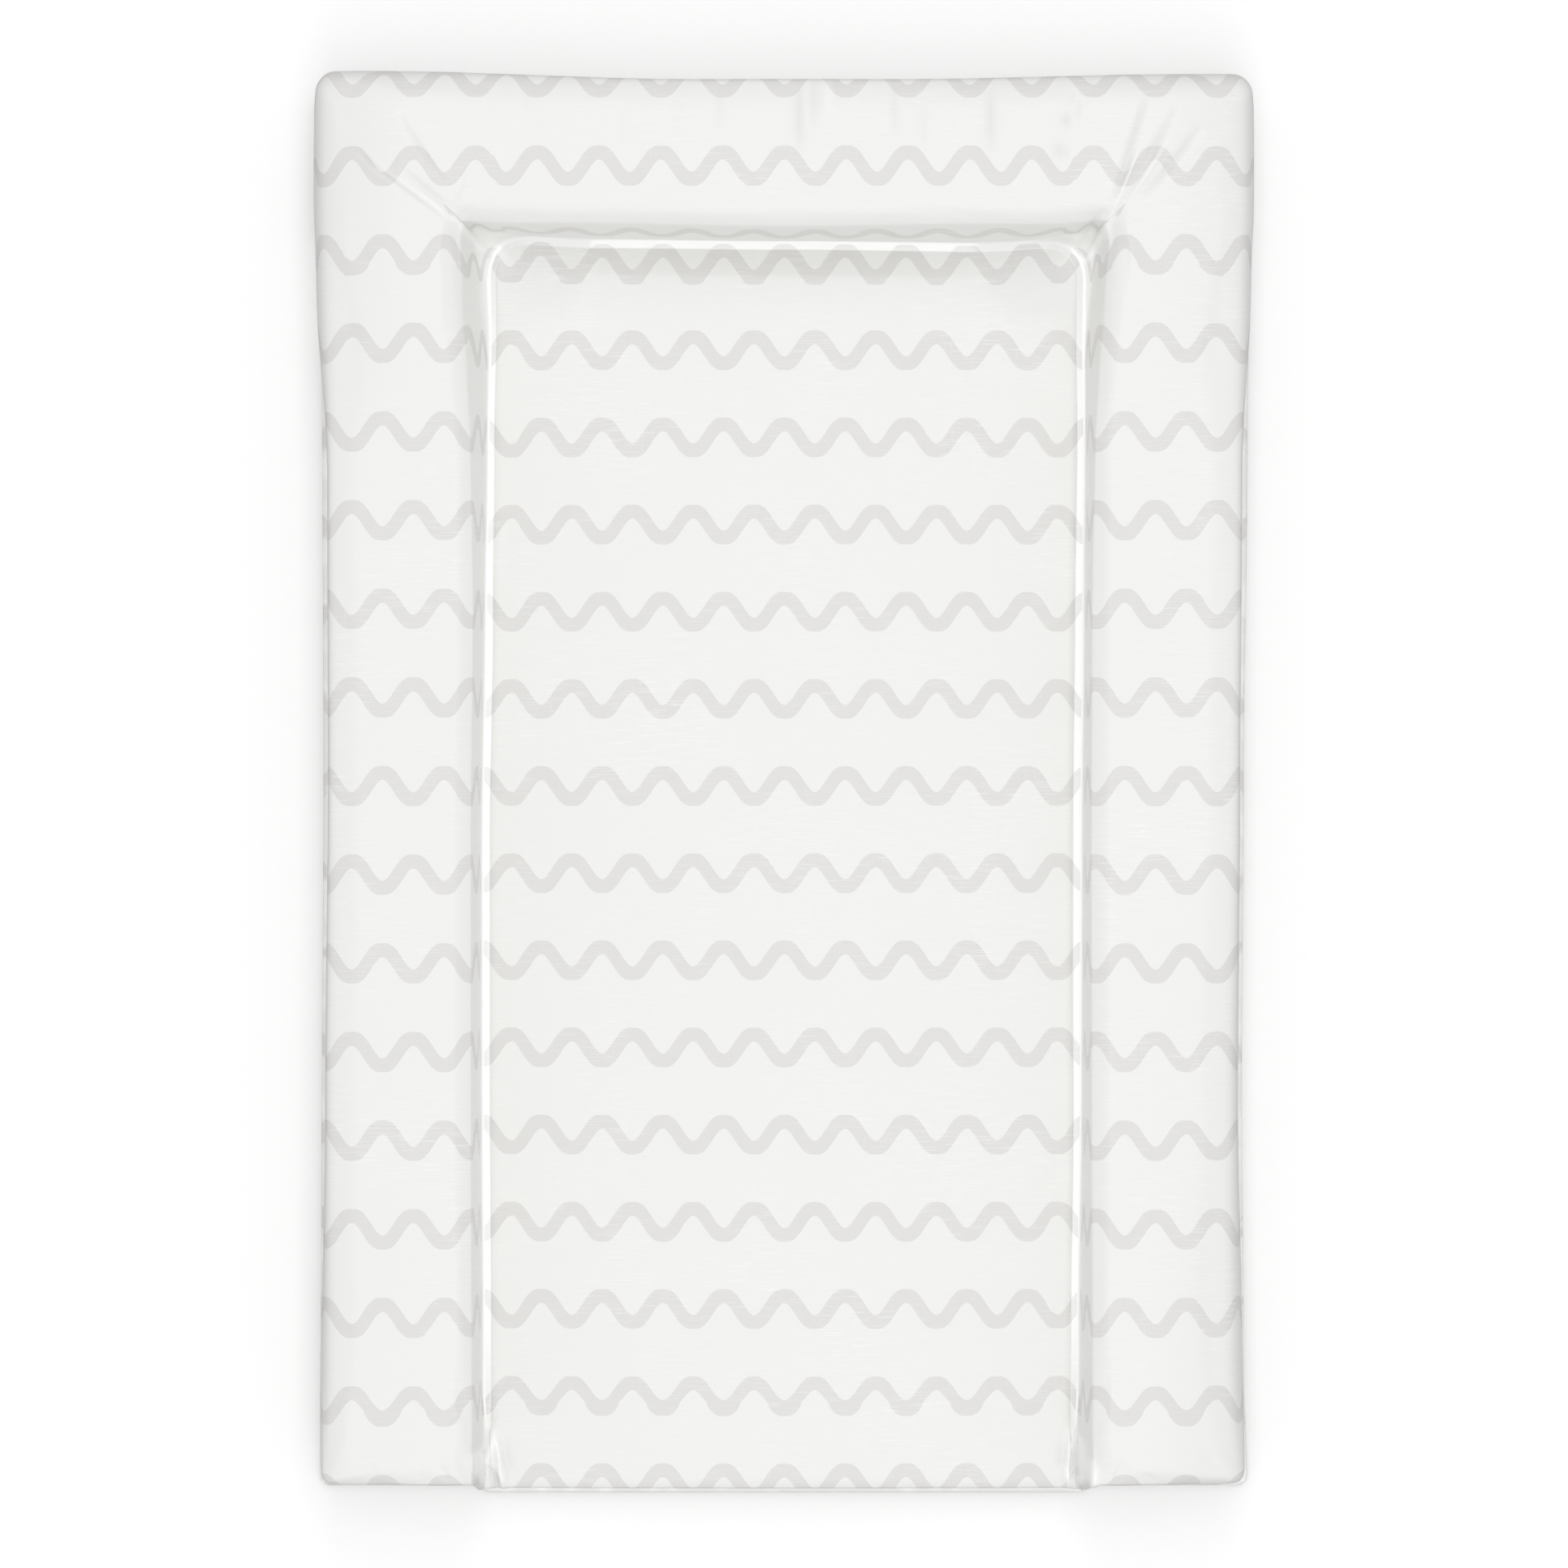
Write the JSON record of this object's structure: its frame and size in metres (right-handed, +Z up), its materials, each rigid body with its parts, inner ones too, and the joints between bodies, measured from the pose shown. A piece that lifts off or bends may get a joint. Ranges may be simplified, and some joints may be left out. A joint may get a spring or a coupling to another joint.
{
  "type": "changing mat",
  "caption": "Padded baby changing mat with a wipe-clean film cover, raised foam sides along the long edges and the head end, and a flat lying area that is open at the foot end.",
  "frame": {"origin": "centre of the underside of the base sheet, on the surface that the mat lies on", "axes": "+Y towards the head end, +X to the right as seen from above with the head end up, +Z up"},
  "size_m": [0.464, 0.7, 0.072],
  "materials": {
    "printed_film": "semi-gloss PVC film with a pale grey print",
    "base_film": "plain white PVC film",
    "liner_film": "plain PVC film, hidden inside",
    "foam": "open-cell polyurethane foam, hidden inside",
    "wadding": "polyester wadding, hidden inside"
  },
  "bodies": {
    "root": {"base_sheet": "base_film", "base_foam": "foam", "liner_sheet": "liner_film", "centre_wadding": "wadding", "left_bar_foam": "foam", "right_bar_foam": "foam", "head_bar_foam": "foam", "top_cover": "printed_film"}
  },
  "joints": []
}
